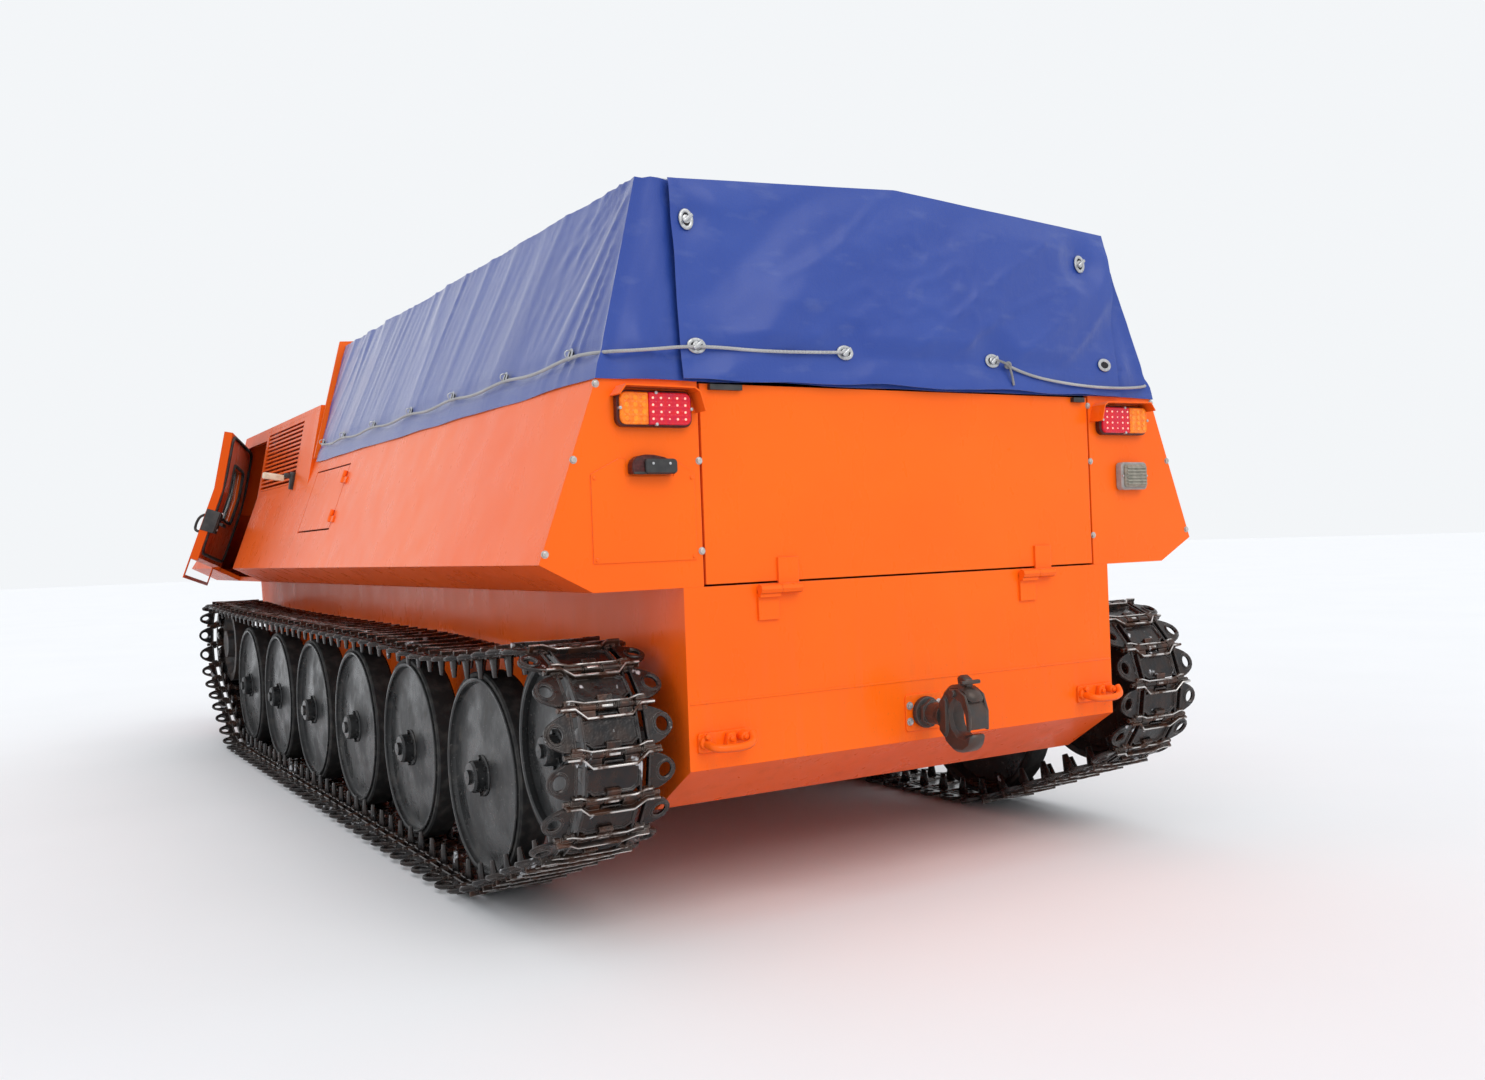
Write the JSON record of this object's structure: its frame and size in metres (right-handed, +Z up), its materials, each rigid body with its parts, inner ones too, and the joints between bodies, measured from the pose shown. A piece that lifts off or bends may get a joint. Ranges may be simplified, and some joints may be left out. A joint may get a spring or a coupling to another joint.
{
  "type": "tracked all-terrain vehicle",
  "caption": "Light tracked all-terrain carrier with a cloth-covered load bay, a mid engine bay, a two-door cab and fixed track loops on dished road wheels.",
  "frame": {"origin": "centre of the towing hook's plate on the rear face, on the vehicle's middle plane, 570 mm above the ground", "axes": "+X forward along the vehicle, +Y to its left, +Z up"},
  "size_m": [6.332, 2.8651, 2.2604],
  "materials": {
    "orange_paint": "satin",
    "cover_cloth": "matte",
    "rope": "matte",
    "track_steel": "matte",
    "wheel_paint": "satin",
    "gear_steel": "matte",
    "glass": "gloss",
    "black_plastic": "matte",
    "seat_cover": "matte",
    "red_lens": "gloss",
    "clear_lens": "gloss",
    "engine_iron": "matte",
    "hook_steel": "matte",
    "inner_paint": "satin"
  },
  "bodies": {
    "hull": {"arms_left": "gear_steel", "arms_right": "gear_steel", "bay_roof": "orange_paint", "cab_back": "inner_paint", "cab_floor": "inner_paint", "cab_shell": "orange_paint", "dash": "black_plastic", "door_hinges": "orange_paint", "engine_block": "engine_iron", "final_drives": "gear_steel", "gate_hinges": "orange_paint", "hatch_hinges": "orange_paint", "headlamps": "clear_lens", "hull_tub": "orange_paint", "idlers": "wheel_paint", "lamp_visors": "orange_paint", "lid_hinges": "orange_paint", "load_floor": "inner_paint", "louvre_left": "orange_paint", "louvre_right": "orange_paint", "partition": "orange_paint", "pintle_hook": "hook_steel", "plate_lamp": "black_plastic", "plate_sheet": "orange_paint", "rear_corner_left": "orange_paint", "rear_corner_right": "orange_paint", "reversing_lamp": "clear_lens", "road_wheels_left": "wheel_paint", "road_wheels_right": "wheel_paint", "rope_left": "rope", "rope_right": "rope", "seats": "seat_cover", "side_wall_left": "orange_paint", "side_wall_right": "orange_paint", "sprockets": "gear_steel", "tail_lamps": "red_lens", "tarp": "cover_cloth", "tow_hooks_front": "hook_steel", "tow_hooks_rear": "hook_steel", "track_left": "track_steel", "track_right": "track_steel", "windscreen": "glass"},
    "door_left_body": {"door_left": "orange_paint", "door_glass_left": "glass", "door_latch_left": "black_plastic"},
    "door_right_body": {"door_right": "orange_paint", "door_glass_right": "glass", "door_latch_right": "black_plastic"},
    "tailgate_body": {"tailgate": "orange_paint", "gate_latches": "black_plastic"},
    "side_hatch_left_body": {"side_hatch_left": "orange_paint"},
    "side_hatch_right_body": {"side_hatch_right": "orange_paint"},
    "engine_cover_body": {"engine_cover": "orange_paint"},
    "roof_hatch_body": {"roof_hatch": "orange_paint"},
    "nose_hatch_body": {"nose_hatch": "orange_paint"}
  },
  "joints": [
    {"name": "door_left_hinge", "type": "hinge", "parent": "hull", "child": "door_left_body", "pos_m": [5.176, 1.297, 0.517], "axis": [0, 0.2752, -0.9614], "range_deg": [-20, 45]},
    {"name": "door_right_hinge", "type": "hinge", "parent": "hull", "child": "door_right_body", "pos_m": [5.176, -1.297, 0.517], "axis": [0, 0.2752, 0.9614], "range_deg": [0, 65]},
    {"name": "tailgate_hinge", "type": "hinge", "parent": "hull", "child": "tailgate_body", "pos_m": [-0.016, 0, 0.418], "axis": [0, -1, 0], "range_deg": [0, 100]},
    {"name": "side_hatch_left_hinge", "type": "hinge", "parent": "hull", "child": "side_hatch_left_body", "pos_m": [2.5135, 1.18177, 0.825], "axis": [0, -0.345, 0.9386], "range_deg": [0, 100]},
    {"name": "side_hatch_right_hinge", "type": "hinge", "parent": "hull", "child": "side_hatch_right_body", "pos_m": [2.5135, -1.18177, 0.825], "axis": [0, -0.345, -0.9386], "range_deg": [0, 100]},
    {"name": "engine_cover_hinge", "type": "hinge", "parent": "hull", "child": "engine_cover_body", "pos_m": [4.405, 0, 1.323], "axis": [0, 1, 0], "range_deg": [0, 75]},
    {"name": "roof_hatch_hinge", "type": "hinge", "parent": "hull", "child": "roof_hatch_body", "pos_m": [5.105, -0.5, 1.326], "axis": [0, 1, 0], "range_deg": [0, 100]},
    {"name": "nose_hatch_hinge", "type": "hinge", "parent": "hull", "child": "nose_hatch_body", "pos_m": [5.455, 0, 0.83013], "axis": [0, -1, 0], "range_deg": [0, 70]}
  ]
}
